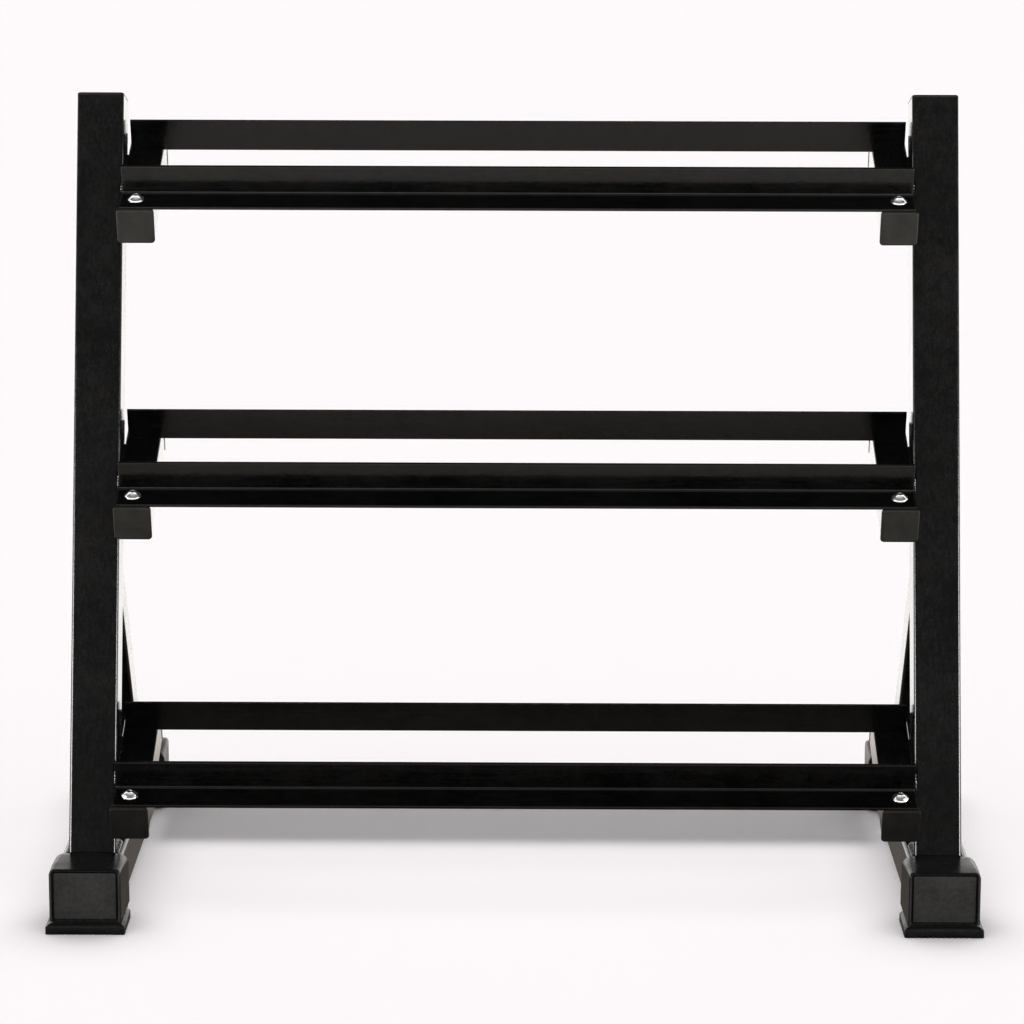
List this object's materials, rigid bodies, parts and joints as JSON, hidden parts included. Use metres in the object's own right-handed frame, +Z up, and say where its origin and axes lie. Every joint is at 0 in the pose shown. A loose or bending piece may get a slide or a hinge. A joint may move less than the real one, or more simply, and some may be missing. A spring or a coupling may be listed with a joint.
{
  "type": "dumbbell rack",
  "caption": "Free-standing tiered dumbbell rack: leaning square-tube side frames on rubber boots, joined by tilted pairs of angle-iron rails bolted to bracket tubes.",
  "frame": {"origin": "on the floor, at the middle of the footprint between the four boots", "axes": "+Z up, -Y to the front where the dumbbells are taken from, +X to the right as seen from the front"},
  "size_m": [0.981, 0.571, 0.854],
  "materials": {
    "frame_coat": "semi-gloss black powder coat over welded square steel tube, fine orange peel",
    "rail_coat": "semi-gloss black powder coat over steel angle, a little glossier than the frames",
    "end_cap": "satin black moulded plastic end cap with a softly rounded rim",
    "boot_rubber": "matte charcoal moulded rubber with a recessed front panel and a grooved sole",
    "zinc_bolt": "bright zinc-plated steel, turned head",
    "zinc_washer": "zinc-plated steel, stamped washer",
    "zinc_nut": "zinc-plated steel, thin hexagon nut"
  },
  "bodies": {
    "root": {"left_upright": "frame_coat", "right_upright": "frame_coat", "left_upright_cap": "end_cap", "right_upright_cap": "end_cap", "left_base_tube": "frame_coat", "right_base_tube": "frame_coat", "left_rear_brace": "frame_coat", "right_rear_brace": "frame_coat", "left_front_boot": "boot_rubber", "right_front_boot": "boot_rubber", "left_rear_boot": "boot_rubber", "right_rear_boot": "boot_rubber", "left_upper_bracket": "frame_coat", "right_upper_bracket": "frame_coat", "left_middle_bracket": "frame_coat", "right_middle_bracket": "frame_coat", "left_lower_bracket": "frame_coat", "right_lower_bracket": "frame_coat", "left_upper_bracket_front_cap": "end_cap", "right_upper_bracket_front_cap": "end_cap", "left_upper_bracket_rear_cap": "end_cap", "right_upper_bracket_rear_cap": "end_cap", "left_middle_bracket_front_cap": "end_cap", "right_middle_bracket_front_cap": "end_cap", "left_middle_bracket_rear_cap": "end_cap", "right_middle_bracket_rear_cap": "end_cap", "left_lower_bracket_front_cap": "end_cap", "right_lower_bracket_front_cap": "end_cap", "left_lower_bracket_rear_cap": "end_cap", "right_lower_bracket_rear_cap": "end_cap", "upper_front_rail": "rail_coat", "upper_rear_rail": "rail_coat", "middle_front_rail": "rail_coat", "middle_rear_rail": "rail_coat", "lower_front_rail": "rail_coat", "lower_rear_rail": "rail_coat", "upper_front_rail_bolts": "zinc_bolt", "upper_rear_rail_bolts": "zinc_bolt", "middle_front_rail_bolts": "zinc_bolt", "middle_rear_rail_bolts": "zinc_bolt", "lower_front_rail_bolts": "zinc_bolt", "lower_rear_rail_bolts": "zinc_bolt", "upper_front_rail_washers": "zinc_washer", "upper_rear_rail_washers": "zinc_washer", "middle_front_rail_washers": "zinc_washer", "middle_rear_rail_washers": "zinc_washer", "lower_front_rail_washers": "zinc_washer", "lower_rear_rail_washers": "zinc_washer", "upper_front_rail_nuts": "zinc_nut", "upper_rear_rail_nuts": "zinc_nut", "middle_front_rail_nuts": "zinc_nut", "middle_rear_rail_nuts": "zinc_nut", "lower_front_rail_nuts": "zinc_nut", "lower_rear_rail_nuts": "zinc_nut"}
  },
  "joints": []
}
